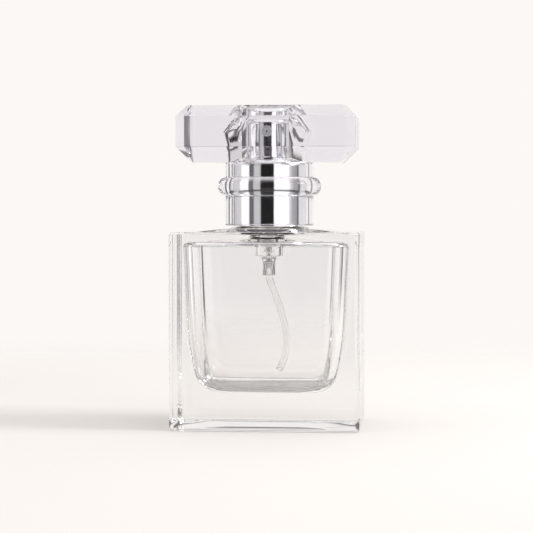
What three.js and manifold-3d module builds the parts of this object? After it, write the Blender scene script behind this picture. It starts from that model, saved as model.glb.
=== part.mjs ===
// A small square glass spray bottle: crimped pump, chrome collar and button, clear bar-shaped overcap.
// Millimetres, +Z up, origin at the middle of the base; the nozzle faces -Y.
import * as THREE from "three";
import { mergeVertices } from "three/addons/utils/BufferGeometryUtils.js";
import { ConvexGeometry } from "three/addons/geometries/ConvexGeometry.js";
import Module from "manifold-3d";

const wasm = await Module();
wasm.setup();

// ---- driving dimensions ----
const ROUND_SEGMENTS = 28;
const SMALL_SEGMENTS = 20;

const BODY_WIDTH = 45.0;
const BODY_DEPTH = 30.0;
const SHOULDER_Z = 46.8;
const BODY_CORNER_R = 1.3;
const BODY_EDGE_R = 0.8;
const SIDE_WALL = 2.7;
const FACE_WALL = 3.0;
const SHOULDER_WALL = 2.3;
const BASE_THICKNESS = 8.6;
const CAVITY_CORNER_R = 5.2;
const CAVITY_TAPER_X = 1.5;
const CAVITY_TAPER_Y = 0.7;
const CAVITY_HEEL_R = 4.6;

const NECK_R = 6.4;
const NECK_BORE_R = 4.4;
const BEAD_R = NECK_R + 1.0;
const BEAD_HEIGHT = 3.4;
const NECK_TOP = SHOULDER_Z + 10.2;

const GASKET_THICKNESS = 0.8;
const FLANGE_THICKNESS = 1.0;
const FERRULE_WALL = 0.4;
const FERRULE_SLACK = 0.2;
const SNUG = 0.05;
const TURRET_LEDGE = 0.6;
const TURRET_HEIGHT = 2.0;

const LINER_WALL = 0.35;
const SHELL_WALL = 0.35;
const COLLAR_EDGE_R = 1.5;

const BARREL_R = NECK_BORE_R - 1.0;
const BARREL_WALL = 0.8;
const BARREL_DROP = 16.3;
const TAIL_R = 1.55;
const TAIL_LENGTH = 4.6;
const RUNNING_GAP = 0.05;
const STEM_R = 1.6;
const STEM_BORE_R = 0.55;
const STEM_HOLD = 2.6;
const STROKE = 3.5;
const BALL_R = 0.8;
const BALL_LIFT = 0.6;
const SEAT_HOLE_R = 0.5;
const SPRING_WIRE_R = 0.2;
const SPRING_TURNS = 6;

const BUTTON_R = 5.55;
const BUTTON_HEIGHT = 10.5;
const BUTTON_SHELL_WALL = 0.3;
const BUTTON_EDGE_R = 1.2;
const BUTTON_GAP = 0.4;
const NOZZLE_R = 1.25;
const NOZZLE_LENGTH = 2.1;
const NOZZLE_DROP = 2.75;

const CAP_GAP = 0.3;
const SKIRT_WALL = 1.6;
const BEAD_RING_OUT = 1.85;
const BEAD_RING_HEIGHT = 4.35;
const BEAD_RING_Z = NECK_TOP + 0.6;
const BAR_LENGTH = 42.6;
const BAR_DEPTH = 26.0;
const BAR_HEIGHT = 13.5;
const BAR_TOP_BEVEL = 2.6;
const BAR_BOTTOM_BEVEL = 3.7;
const BAR_CORNER_CUT = 2.35;
const BAR_ROOF = 1.4;
// The overcap's chamber, by level from its roof down: brow, bulge, waist and foot.
// A slack is added to the button's radius and a bulge to the skirt's bore; a drop is measured from the roof.
const CHAMBER_FLAT = 11.2;
const CHAMBER_ROOF_END = 5.2;
const CHAMBER_BULGE_END = 6.0;
const CHAMBER_WAIST_END = 8.2;
const CHAMBER_FOOT_END = 9.4;
const CHAMBER_HEADROOM = 1.85;
const CHAMBER_ROOF_SLACK = 0.75;
const CHAMBER_BROW_SLACK = 2.75;
const CHAMBER_BULGE = 1.4;
const CHAMBER_WAIST_BULGE = 0.5;
const CHAMBER_BROW_DROP = 2.1;
const CHAMBER_BULGE_DROP = 4.9;
const CHAMBER_WAIST_DROP = 7.6;

const TUBE_R = 0.9;
const TUBE_BORE_R = 0.6;
const TUBE_BOW = 3.8;
const TUBE_HOLD = 3.3;
const TUBE_FLOOR_GAP = 3.1;
const TUBE_BACK_GAP = 4.3;

// ---- sizes that follow ----
const FLANGE_BOTTOM = NECK_TOP + GASKET_THICKNESS;
const FLANGE_TOP = FLANGE_BOTTOM + FLANGE_THICKNESS;
const FERRULE_IN_R = BEAD_R + FERRULE_SLACK;
const FERRULE_R = FERRULE_IN_R + FERRULE_WALL;
const FERRULE_TOP = FLANGE_TOP + SNUG + FERRULE_WALL;
const LINER_IN_R = FERRULE_R + SNUG;
const LINER_R = LINER_IN_R + LINER_WALL;
const SHELL_IN_R = LINER_R + SNUG;
const SHELL_R = SHELL_IN_R + SHELL_WALL;
const SKIRT_IN_R = SHELL_R + CAP_GAP;
const SKIRT_R = SKIRT_IN_R + SKIRT_WALL;
const BUTTON_BOTTOM = FERRULE_TOP + STROKE + 0.25;
const BUTTON_TOP = BUTTON_BOTTOM + BUTTON_HEIGHT;
const COLLAR_TOP = BUTTON_BOTTOM + 1.0;
const COLLAR_OPENING_R = BUTTON_R + BUTTON_GAP;
const CHAMBER_ROOF = BUTTON_TOP + CHAMBER_HEADROOM;
const BAR_TOP = CHAMBER_ROOF + BAR_ROOF;
const BAR_BOTTOM = BAR_TOP - BAR_HEIGHT;
const TURRET_TOP = FERRULE_TOP + TURRET_HEIGHT;

// The shoulder lifts towards the neck: [radius, rise above the shoulder].
const SHOULDER_RISE = [
  [NECK_R + 11.4, 0],
  [NECK_R + 8.3, 0.35],
  [SKIRT_R, 0.75],
  [SKIRT_IN_R, 1.0],
  [SHELL_IN_R, 1.15],
  [NECK_R + 1.0, 1.7],
  [NECK_R, 2.9],
];
const CAVITY_TOP = SHOULDER_Z - SHOULDER_WALL;
const SKIRT_BOTTOM = SHOULDER_Z + 1.4;
const COLLAR_BOTTOM = SHOULDER_Z + 1.7;
const LINER_BOTTOM = COLLAR_BOTTOM + 0.4;

const BARREL_BOTTOM = NECK_TOP - BARREL_DROP;
const TAIL_BOTTOM = BARREL_BOTTOM - TAIL_LENGTH;
const BARREL_BORE_R = BARREL_R - BARREL_WALL;
const TURRET_R = BARREL_BORE_R + TURRET_LEDGE;
const SEAT_Z = BARREL_BOTTOM + 1.1;
const BALL_Z = SEAT_Z + Math.sqrt(BALL_R ** 2 - SEAT_HOLE_R ** 2) + 0.02;
const CAGE_R = BALL_R + 0.2;
const BARREL_FLOOR = BALL_Z + BALL_R + BALL_LIFT + 0.05;
const SPRING_SEAT_TOP = BARREL_FLOOR + 0.5;
const SEAL_TOP = FLANGE_BOTTOM - 2.4;
const SEAL_BOTTOM = SEAL_TOP - 0.8;
const PISTON_TOP = SEAL_BOTTOM - 0.1;
const PISTON_BOTTOM = PISTON_TOP - 3.0;
const PISTON_R = BARREL_BORE_R - RUNNING_GAP;
const ROD_R = 1.1;
const BOSS_BOTTOM = TURRET_TOP + STROKE + 0.25;
const STEM_TOP = BOSS_BOTTOM + STEM_HOLD;

// ---- materials ----
function material(color, roughness, metalness, opacity = 1) {
  return new THREE.MeshStandardMaterial({
    color,
    roughness,
    metalness,
    opacity,
    transparent: opacity < 1,
  });
}
const CLEAR_GLASS = material("#e9ebe8", 0.05, 0, 0.35);
const CLEAR_PLASTIC = material("#e3e2e9", 0.07, 0, 0.35);
const CHROME = material("#d6d8da", 0.06, 1);
const ALUMINIUM = material("#c9cbcc", 0.3, 1);
const SPRING_STEEL = material("#b4b6b8", 0.3, 1);
const NATURAL_PLASTIC = material("#dcdcd8", 0.4, 0);
const WHITE_PLASTIC = material("#e8e8e6", 0.35, 0);
const GREY_RUBBER = material("#8d8d8c", 0.7, 0);

// ---- helpers ----
function solidOf(geometry) {
  const plain = new THREE.BufferGeometry();
  plain.setAttribute("position", geometry.getAttribute("position").clone());
  if (geometry.index) {
    plain.setIndex(geometry.index.clone());
  }
  const merged = mergeVertices(plain, 1e-4);
  return new wasm.Manifold(
    new wasm.Mesh({
      numProp: 3,
      vertProperties: new Float32Array(merged.attributes.position.array),
      triVerts: new Uint32Array(merged.index.array),
    }),
  );
}

function geometryOf(solid) {
  const mesh = solid.getMesh();
  const geometry = new THREE.BufferGeometry();
  const positions = new Float32Array(mesh.vertProperties);
  geometry.setAttribute("position", new THREE.BufferAttribute(positions, 3));
  geometry.setIndex(new THREE.BufferAttribute(new Uint32Array(mesh.triVerts), 1));
  const faceted = geometry.toNonIndexed();
  faceted.computeVertexNormals();
  return faceted;
}

function addMesh(group, name, solid, look) {
  const mesh = new THREE.Mesh(geometryOf(solid), look);
  mesh.name = name;
  group.add(mesh);
}

// Area inside a closed outline, positive when it runs anticlockwise.
function signedArea(points) {
  let sum = 0;
  points.forEach(([x, y], i) => {
    const [nextX, nextY] = points[(i + 1) % points.length];
    sum += x * nextY - nextX * y;
  });
  return sum / 2;
}

// A solid of revolution about Z from an outline of [radius, z]; the outline closes on itself.
function turned(outline, segments = ROUND_SEGMENTS) {
  const ordered = signedArea(outline) > 0 ? [...outline] : [...outline].reverse();
  const onAxis = ordered.findIndex(([r], i) => {
    const [nextR] = ordered[(i + 1) % ordered.length];
    return r === 0 && nextR === 0;
  });
  let run;
  if (onAxis >= 0) {
    run = [...ordered.slice(onAxis + 1), ...ordered.slice(0, onAxis + 1)];
  } else {
    run = [...ordered, ordered[0]];
  }
  const points = run.map(([r, z]) => new THREE.Vector2(r, z));
  const geometry = new THREE.LatheGeometry(points, segments);
  geometry.rotateX(Math.PI / 2);
  return solidOf(geometry);
}

// A ring or tube between two radii.
function ring(outer, inner, bottom, top, segments = ROUND_SEGMENTS) {
  return turned(
    [
      [outer, bottom],
      [outer, top],
      [inner, top],
      [inner, bottom],
    ],
    segments,
  );
}

function disc(radius, bottom, top, segments = ROUND_SEGMENTS) {
  return turned(
    [
      [0, bottom],
      [radius, bottom],
      [radius, top],
      [0, top],
    ],
    segments,
  );
}

// Points of an ellipse quarter or half: centre, radii, start and end angle in degrees.
function arc(centreR, centreZ, radiusR, radiusZ, from, to, steps) {
  return Array.from({ length: steps + 1 }, (_, i) => {
    const angle = THREE.MathUtils.degToRad(from + ((to - from) * i) / steps);
    return [centreR + radiusR * Math.cos(angle), centreZ + radiusZ * Math.sin(angle)];
  });
}

// Corner points of a rounded rectangle at one height.
function roundedRectangle(halfX, halfY, radius, z, steps = 3) {
  const points = [];
  const corners = [
    [1, 1, 0],
    [-1, 1, 90],
    [-1, -1, 180],
    [1, -1, 270],
  ];
  for (const [signX, signY, start] of corners) {
    for (let i = 0; i <= steps; i++) {
      const angle = THREE.MathUtils.degToRad(start + (90 * i) / steps);
      points.push(
        new THREE.Vector3(
          signX * (halfX - radius) + radius * Math.cos(angle),
          signY * (halfY - radius) + radius * Math.sin(angle),
          z,
        ),
      );
    }
  }
  return points;
}

// Points of a rectangle with cut corners at one height.
function cutRectangle(halfX, halfY, cut, z) {
  const points = [];
  for (const signX of [-1, 1]) {
    for (const signY of [-1, 1]) {
      points.push(new THREE.Vector3(signX * halfX, signY * (halfY - cut), z));
      points.push(new THREE.Vector3(signX * (halfX - cut), signY * halfY, z));
    }
  }
  return points;
}

function hullOf(points) {
  return solidOf(new ConvexGeometry(points));
}

// A round bar lying along Y, from one y to another, at height z.
function barAlongY(radius, fromY, toY, z) {
  const geometry = new THREE.CylinderGeometry(radius, radius, toY - fromY, SMALL_SEGMENTS);
  geometry.translate(0, (fromY + toY) / 2, z);
  return solidOf(geometry);
}

// ---- glass bottle ----
function makeBottle() {
  const halfX = BODY_WIDTH / 2;
  const halfY = BODY_DEPTH / 2;
  const outer = [];
  for (let i = 0; i <= 4; i++) {
    const angle = THREE.MathUtils.degToRad(22.5 * i);
    const inset = BODY_EDGE_R * (1 - Math.sin(angle));
    const lift = BODY_EDGE_R * (1 - Math.cos(angle));
    const radius = BODY_CORNER_R;
    outer.push(...roundedRectangle(halfX - inset, halfY - inset, radius, lift));
    outer.push(...roundedRectangle(halfX - inset, halfY - inset, radius, SHOULDER_Z - lift));
  }
  const block = hullOf(outer);

  const bead = arc(BEAD_R - 0.9, NECK_TOP - BEAD_HEIGHT + 0.9, 0.9, 0.9, -90, 0, 4);
  const beadTop = arc(BEAD_R - 0.9, NECK_TOP - 0.9, 0.9, 0.9, 0, 90, 4);
  const rise = SHOULDER_RISE.map(([r, up]) => [r, SHOULDER_Z + up]);
  const neck = turned([
    [0, SHOULDER_Z - 1.5],
    [NECK_R + 11.4, SHOULDER_Z - 1.5],
    ...rise,
    [NECK_R, NECK_TOP - BEAD_HEIGHT],
    ...bead,
    ...beadTop,
    [0, NECK_TOP],
  ]);
  const footprint = hullOf([
    ...roundedRectangle(halfX - BODY_EDGE_R, halfY - BODY_EDGE_R, BODY_CORNER_R, 1),
    ...roundedRectangle(halfX - BODY_EDGE_R, halfY - BODY_EDGE_R, BODY_CORNER_R, NECK_TOP + 1),
  ]);

  // The hollow is widest under the shoulder and draws in to a rounded heel: [z, inset in X, inset in Y].
  const levels = [
    [CAVITY_TOP, 1.2, 1.2],
    [CAVITY_TOP - 0.4, 0.4, 0.4],
    [CAVITY_TOP - 1.4, 0, 0],
    [BASE_THICKNESS + 14.4, CAVITY_TAPER_X, CAVITY_TAPER_Y],
    [BASE_THICKNESS + 7.4, 1.8 * CAVITY_TAPER_X, 1.7 * CAVITY_TAPER_Y],
    [BASE_THICKNESS + 0.65 * CAVITY_HEEL_R, 2.5 * CAVITY_TAPER_X, 2.4 * CAVITY_TAPER_Y],
    [BASE_THICKNESS + 0.22 * CAVITY_HEEL_R, 2.5 * CAVITY_TAPER_X + 1.5, 2.4 * CAVITY_TAPER_Y + 1.0],
    [BASE_THICKNESS, 2.5 * CAVITY_TAPER_X + 3.7, 2.4 * CAVITY_TAPER_Y + 2.7],
  ];
  const hollow = hullOf(
    levels.flatMap(([z, insetX, insetY]) =>
      roundedRectangle(halfX - SIDE_WALL - insetX, halfY - FACE_WALL - insetY, CAVITY_CORNER_R, z),
    ),
  );
  const bore = disc(NECK_BORE_R, CAVITY_TOP - 1, NECK_TOP + 1);
  return block.add(neck.intersect(footprint)).subtract(hollow).subtract(bore);
}

// ---- crimped fittings on the neck ----
function makeGasket() {
  return ring(BEAD_R - 0.2, NECK_BORE_R - 0.6, NECK_TOP, FLANGE_BOTTOM);
}

function makeFerrule() {
  const bottom = NECK_TOP - BEAD_HEIGHT - SNUG - FERRULE_WALL;
  const lipR = NECK_R + 0.4;
  return turned([
    [FERRULE_R - 0.3, bottom],
    [FERRULE_R, bottom + 0.5],
    [FERRULE_R, FERRULE_TOP - 0.5],
    [FERRULE_R - 0.5, FERRULE_TOP],
    [TURRET_R + 0.1, FERRULE_TOP],
    [TURRET_R + 0.1, FERRULE_TOP - FERRULE_WALL],
    [FERRULE_IN_R, FERRULE_TOP - FERRULE_WALL],
    [FERRULE_IN_R, bottom + FERRULE_WALL],
    [lipR, bottom + FERRULE_WALL],
    [lipR, bottom],
  ]);
}

// A thin cup over the ferrule with a hole for the button; shared by the liner and the shell.
function collarCup(outer, inner, bottom, top, opening, edge) {
  const wall = outer - inner;
  return turned([
    [outer, bottom],
    ...arc(outer - edge, top - edge, edge, edge, 0, 90, 6),
    [opening, top],
    [opening, top - wall],
    ...arc(outer - edge, top - edge, edge - wall, edge - wall, 90, 0, 6),
    [inner, bottom],
  ]);
}

function makeCollarShell() {
  return collarCup(SHELL_R, SHELL_IN_R, COLLAR_BOTTOM, COLLAR_TOP, COLLAR_OPENING_R, COLLAR_EDGE_R);
}

function makeCollarLiner() {
  const top = COLLAR_TOP - SHELL_WALL - SNUG;
  const edge = COLLAR_EDGE_R - SHELL_WALL - SNUG;
  return collarCup(LINER_R, LINER_IN_R, LINER_BOTTOM, top, COLLAR_OPENING_R + 0.2, edge);
}

// ---- pump ----
function makeHousing() {
  const outside = turned([
    [0, TAIL_BOTTOM],
    [TAIL_R, TAIL_BOTTOM],
    [TAIL_R, BARREL_BOTTOM - 0.8],
    [TAIL_R + 0.2, BARREL_BOTTOM - 0.8],
    [TAIL_R + 0.2, BARREL_BOTTOM],
    [BARREL_R - 0.3, BARREL_BOTTOM],
    [BARREL_R, BARREL_BOTTOM + 0.3],
    [BARREL_R, FLANGE_BOTTOM],
    [BEAD_R - 0.1, FLANGE_BOTTOM],
    [BEAD_R - 0.1, FLANGE_TOP],
    [0, FLANGE_TOP],
  ]);
  const inside = turned([
    [0, TAIL_BOTTOM - 1],
    [TUBE_R + SNUG, TAIL_BOTTOM - 1],
    [TUBE_R + SNUG, TAIL_BOTTOM + TUBE_HOLD + 0.1],
    [SEAT_HOLE_R, TAIL_BOTTOM + TUBE_HOLD + 0.1],
    [SEAT_HOLE_R, SEAT_Z],
    [CAGE_R, SEAT_Z],
    [CAGE_R, BARREL_FLOOR],
    [BARREL_BORE_R, BARREL_FLOOR],
    [BARREL_BORE_R, FLANGE_TOP + 1],
    [0, FLANGE_TOP + 1],
  ]);
  return outside.subtract(inside);
}

function makeTurret() {
  return turned([
    [BARREL_BORE_R - SNUG, SEAL_TOP + SNUG],
    [BARREL_BORE_R - SNUG, FERRULE_TOP + 0.1],
    [TURRET_R, FERRULE_TOP + 0.1],
    [TURRET_R, TURRET_TOP - 0.4],
    [TURRET_R - 0.4, TURRET_TOP],
    [STEM_R + RUNNING_GAP, TURRET_TOP],
    [STEM_R + RUNNING_GAP, SEAL_TOP + SNUG],
  ]);
}

function makeStem() {
  return turned(
    [
      [ROD_R, PISTON_BOTTOM + 0.3],
      [ROD_R, PISTON_TOP + 0.05],
      [STEM_R, PISTON_TOP + 0.05],
      [STEM_R, STEM_TOP],
      [STEM_BORE_R, STEM_TOP],
      [STEM_BORE_R, PISTON_BOTTOM + 0.3],
    ],
    SMALL_SEGMENTS,
  );
}

// The plug under the stem that closes its channel until the pump is pressed.
function makeValveRod() {
  return turned(
    [
      [0, PISTON_BOTTOM - 0.9],
      [0.7, PISTON_BOTTOM - 0.9],
      [0.7, PISTON_BOTTOM + 0.25],
      [STEM_BORE_R - 0.1, PISTON_BOTTOM + 0.25],
      [STEM_BORE_R - 0.1, PISTON_BOTTOM + 2.2],
      [0, PISTON_BOTTOM + 2.5],
    ],
    SMALL_SEGMENTS,
  );
}

function makePiston() {
  const lip = 0.5;
  const waist = PISTON_R - 0.25;
  return turned([
    [PISTON_R, PISTON_BOTTOM],
    [PISTON_R, PISTON_BOTTOM + lip],
    [waist, PISTON_BOTTOM + lip + 0.3],
    [waist, PISTON_TOP - lip - 0.3],
    [PISTON_R, PISTON_TOP - lip],
    [PISTON_R, PISTON_TOP],
    [ROD_R + SNUG, PISTON_TOP],
    [ROD_R + SNUG, PISTON_BOTTOM],
  ]);
}

function makeSpringSeat() {
  return ring(BARREL_BORE_R - SNUG, 0.6, BARREL_FLOOR + 0.02, SPRING_SEAT_TOP, SMALL_SEGMENTS);
}

function makeBall() {
  const geometry = new THREE.SphereGeometry(BALL_R, 14, 8);
  geometry.translate(0, 0, BALL_Z);
  return solidOf(geometry);
}

function makeReturnSpring() {
  const coilR = BARREL_BORE_R - SPRING_WIRE_R - 0.25;
  const low = SPRING_SEAT_TOP + SPRING_WIRE_R + 0.03;
  const high = PISTON_BOTTOM - SPRING_WIRE_R - 0.03;
  const steps = SPRING_TURNS * 10;
  const points = Array.from({ length: steps + 1 }, (_, i) => {
    const share = i / steps;
    const angle = share * SPRING_TURNS * 2 * Math.PI;
    const z = low + (high - low) * share;
    return new THREE.Vector3(coilR * Math.cos(angle), coilR * Math.sin(angle), z);
  });
  const wire = new THREE.Shape();
  wire.absarc(0, 0, SPRING_WIRE_R, 0, 2 * Math.PI, false);
  return solidOf(
    new THREE.ExtrudeGeometry(wire, {
      steps,
      curveSegments: 3,
      bevelEnabled: false,
      extrudePath: new THREE.CatmullRomCurve3(points),
    }),
  );
}

// The tube leaves the pump straight down, bows to one side and ends near the back of the floor.
function makeDipTube() {
  const end = BASE_THICKNESS + TUBE_FLOOR_GAP;
  const fall = TAIL_BOTTOM - end;
  const back = BODY_DEPTH / 2 - FACE_WALL - TUBE_BACK_GAP;
  // [share of the bow to the side, share of the way back, share of the fall left]
  const bends = [
    [0.2, 0.03, 0.9],
    [0.5, 0.13, 0.76],
    [0.76, 0.28, 0.61],
    [0.95, 0.46, 0.46],
    [1.0, 0.66, 0.3],
    [0.86, 0.86, 0.14],
    [0.5, 1.0, 0.0],
  ];
  const route = [
    [0, 0, TAIL_BOTTOM + TUBE_HOLD],
    [0, 0, TAIL_BOTTOM],
    ...bends.map(([side, rear, left]) => [side * TUBE_BOW, rear * back, end + left * fall]),
  ];
  const path = new THREE.CatmullRomCurve3(route.map(([x, y, z]) => new THREE.Vector3(x, y, z)));
  const section = new THREE.Shape();
  section.absarc(0, 0, TUBE_R, 0, 2 * Math.PI, false);
  const hole = new THREE.Path();
  hole.absarc(0, 0, TUBE_BORE_R, 0, 2 * Math.PI, true);
  section.holes.push(hole);
  return solidOf(
    new THREE.ExtrudeGeometry(section, {
      steps: 24,
      curveSegments: 5,
      bevelEnabled: false,
      extrudePath: path,
    }),
  );
}

// ---- press button ----
function nozzleFaceY() {
  return -BUTTON_R - 0.05;
}

function makeButtonShell() {
  const inner = BUTTON_R - BUTTON_SHELL_WALL;
  const top = BUTTON_TOP;
  const edge = BUTTON_EDGE_R;
  const wall = BUTTON_SHELL_WALL;
  const cup = turned([
    [BUTTON_R, BUTTON_BOTTOM],
    ...arc(BUTTON_R - edge, top - edge, edge, edge, 0, 90, 5),
    [0, top],
    [0, top - wall],
    ...arc(BUTTON_R - edge, top - edge, edge - wall, edge - wall, 90, 0, 5),
    [inner, BUTTON_BOTTOM],
  ]);
  const z = BUTTON_TOP - NOZZLE_DROP;
  return cup.subtract(barAlongY(NOZZLE_R + 0.08, -BUTTON_R - 1, 0, z));
}

function makeButtonCore() {
  const outer = BUTTON_R - BUTTON_SHELL_WALL - SNUG;
  const top = BUTTON_TOP - BUTTON_SHELL_WALL - SNUG;
  const edge = BUTTON_EDGE_R - BUTTON_SHELL_WALL - SNUG;
  const socket = STEM_R + RUNNING_GAP;
  const hollowTop = BOSS_BOTTOM + 1.8;
  const hollowR = outer - 0.9;
  const bossR = Math.min(STEM_R + 1.1, hollowR - 0.5);
  const body = turned([
    [outer, BUTTON_BOTTOM + 0.15],
    ...arc(outer - edge, top - edge, edge, edge, 0, 90, 5),
    [0, top],
    [0, STEM_TOP + 0.15],
    [socket, STEM_TOP + 0.15],
    [socket, BOSS_BOTTOM],
    [bossR, BOSS_BOTTOM],
    [bossR, hollowTop],
    [hollowR, hollowTop],
    [hollowR, BUTTON_BOTTOM + 0.15],
  ]);
  const z = BUTTON_TOP - NOZZLE_DROP;
  const pocketBack = nozzleFaceY() + NOZZLE_LENGTH + SNUG;
  return body
    .subtract(barAlongY(NOZZLE_R + SNUG, -BUTTON_R - 1, pocketBack, z))
    .subtract(barAlongY(0.5, pocketBack - 0.1, 0.4, z))
    .subtract(disc(0.45, STEM_TOP, z + 0.2, SMALL_SEGMENTS));
}

function makeNozzle() {
  const depth = NOZZLE_LENGTH;
  const cup = turned(
    [
      [NOZZLE_R, 0],
      [NOZZLE_R, depth - 0.1],
      [NOZZLE_R - 0.1, depth],
      [0.55, depth],
      [0.18, depth - 0.35],
      [0.18, 1.3],
      [0.75, 1.3],
      [0.75, 0],
    ],
    SMALL_SEGMENTS,
  );
  const z = BUTTON_TOP - NOZZLE_DROP;
  return cup.rotate([90, 0, 0]).translate([0, nozzleFaceY() + depth, z]);
}

// ---- overcap ----
// Points of one level of the chamber: flat front and back, short flat ends, slanting corner facets.
function chamberLevel(halfX, endFlat, z) {
  const halfFlat = CHAMBER_FLAT / 2;
  const halfEnd = endFlat / 2;
  const points = [];
  for (const signX of [-1, 1]) {
    for (const signY of [-1, 1]) {
      points.push(new THREE.Vector3(signX * halfFlat, signY * SKIRT_IN_R, z));
      points.push(new THREE.Vector3(signX * halfX, signY * halfEnd, z));
    }
  }
  return points;
}

// Room for the button and collar: a round bore up from the skirt, then the faceted chamber.
function makeCapRoom() {
  const chamberFoot = COLLAR_TOP + 0.75;
  const levels = [
    chamberLevel(BUTTON_R + CHAMBER_ROOF_SLACK, CHAMBER_ROOF_END, CHAMBER_ROOF),
    chamberLevel(BUTTON_R + CHAMBER_BROW_SLACK, CHAMBER_ROOF_END, CHAMBER_ROOF - CHAMBER_BROW_DROP),
    chamberLevel(SKIRT_IN_R + CHAMBER_BULGE, CHAMBER_BULGE_END, CHAMBER_ROOF - CHAMBER_BULGE_DROP),
    chamberLevel(
      SKIRT_IN_R + CHAMBER_WAIST_BULGE,
      CHAMBER_WAIST_END,
      CHAMBER_ROOF - CHAMBER_WAIST_DROP,
    ),
    chamberLevel(SKIRT_IN_R + SNUG, CHAMBER_FOOT_END, chamberFoot),
  ];
  let room = disc(SKIRT_IN_R, SKIRT_BOTTOM - 1, chamberFoot + 0.1);
  for (let i = 1; i < levels.length; i++) {
    room = room.add(hullOf([...levels[i - 1], ...levels[i]]));
  }
  return room;
}

function makeOvercap() {
  const halfX = BAR_LENGTH / 2;
  const halfY = BAR_DEPTH / 2;
  const cutLoss = 2 - Math.SQRT2;
  const levels = [
    [BAR_BOTTOM, BAR_BOTTOM_BEVEL],
    [BAR_BOTTOM + BAR_BOTTOM_BEVEL, 0],
    [BAR_TOP - BAR_TOP_BEVEL, 0],
    [BAR_TOP, BAR_TOP_BEVEL],
  ];
  const bar = hullOf(
    levels.flatMap(([z, inset]) => {
      const cut = Math.max(BAR_CORNER_CUT - cutLoss * inset, 0.4);
      return cutRectangle(halfX - inset, halfY - inset, cut, z);
    }),
  );
  const skirt = turned([
    [0, SKIRT_BOTTOM],
    [SKIRT_R - 0.3, SKIRT_BOTTOM],
    [SKIRT_R, SKIRT_BOTTOM + 0.3],
    ...arc(SKIRT_R, BEAD_RING_Z, BEAD_RING_OUT, BEAD_RING_HEIGHT / 2, -90, 90, 8),
    [SKIRT_R, BAR_BOTTOM + 1],
    [0, BAR_BOTTOM + 1],
  ]);
  return bar.add(skirt).subtract(makeCapRoom());
}

// ---- assembly ----
const bottle = new THREE.Group();
bottle.name = "spray_bottle";
addMesh(bottle, "glass_bottle", makeBottle(), CLEAR_GLASS);
addMesh(bottle, "neck_gasket", makeGasket(), GREY_RUBBER);
addMesh(bottle, "crimp_ferrule", makeFerrule(), ALUMINIUM);
addMesh(bottle, "collar_liner", makeCollarLiner(), WHITE_PLASTIC);
addMesh(bottle, "collar_shell", makeCollarShell(), CHROME);
addMesh(bottle, "pump_housing", makeHousing(), NATURAL_PLASTIC);
addMesh(bottle, "pump_turret", makeTurret(), NATURAL_PLASTIC);
addMesh(
  bottle,
  "stem_seal",
  ring(BARREL_BORE_R - SNUG, STEM_R + RUNNING_GAP, SEAL_BOTTOM, SEAL_TOP),
  GREY_RUBBER,
);
addMesh(bottle, "spring_seat", makeSpringSeat(), NATURAL_PLASTIC);
addMesh(bottle, "return_spring", makeReturnSpring(), SPRING_STEEL);
addMesh(bottle, "check_ball", makeBall(), SPRING_STEEL);
addMesh(bottle, "dip_tube", makeDipTube(), NATURAL_PLASTIC);
addMesh(bottle, "pump_piston", makePiston(), WHITE_PLASTIC);
addMesh(bottle, "valve_rod", makeValveRod(), WHITE_PLASTIC);
addMesh(bottle, "spray_stem", makeStem(), WHITE_PLASTIC);
addMesh(bottle, "spray_button", makeButtonCore(), WHITE_PLASTIC);
addMesh(bottle, "button_shell", makeButtonShell(), CHROME);
addMesh(bottle, "nozzle_insert", makeNozzle(), WHITE_PLASTIC);
addMesh(bottle, "overcap", makeOvercap(), CLEAR_PLASTIC);

export default bottle;
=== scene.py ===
# A small square glass spray bottle: bright collar and button under a clear bar-shaped overcap.
# Metres in the CAD frame: +Z up, origin in the middle of the base, nozzle facing -Y.
import math

import bpy
import numpy as np
from mathutils import Matrix, Vector


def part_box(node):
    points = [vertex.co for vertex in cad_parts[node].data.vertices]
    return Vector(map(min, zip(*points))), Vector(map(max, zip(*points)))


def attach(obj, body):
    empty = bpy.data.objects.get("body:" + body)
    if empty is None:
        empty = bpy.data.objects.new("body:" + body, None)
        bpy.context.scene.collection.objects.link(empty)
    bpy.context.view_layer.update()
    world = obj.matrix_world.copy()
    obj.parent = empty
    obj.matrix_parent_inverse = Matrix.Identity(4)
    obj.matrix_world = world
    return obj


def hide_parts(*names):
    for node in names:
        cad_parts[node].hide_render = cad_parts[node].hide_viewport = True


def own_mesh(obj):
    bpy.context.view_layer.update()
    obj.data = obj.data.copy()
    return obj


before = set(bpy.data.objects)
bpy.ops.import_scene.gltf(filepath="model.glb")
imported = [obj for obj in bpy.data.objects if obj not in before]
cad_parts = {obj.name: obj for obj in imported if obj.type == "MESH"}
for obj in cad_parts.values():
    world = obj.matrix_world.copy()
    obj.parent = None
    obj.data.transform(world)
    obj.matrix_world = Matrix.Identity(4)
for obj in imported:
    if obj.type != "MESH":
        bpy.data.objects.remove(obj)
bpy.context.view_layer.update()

MM = 0.001

# ---- sizes taken from the frame, in millimetres ----


def size_of(node):
    """Lowest and highest corners of a CAD node in millimetres."""
    low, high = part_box(node)
    return np.array(low) / MM, np.array(high) / MM


BODY_HIGH = size_of("glass_bottle")[1]
CAP_LOW, CAP_HIGH = size_of("overcap")
SHELL_LOW, SHELL_HIGH = size_of("collar_shell")
BUTTON_LOW, BUTTON_HIGH = size_of("button_shell")
NOZZLE_LOW, NOZZLE_HIGH = size_of("nozzle_insert")
HOUSING_LOW, HOUSING_HIGH = size_of("pump_housing")
SPRING_LOW, SPRING_HIGH = size_of("return_spring")

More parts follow.
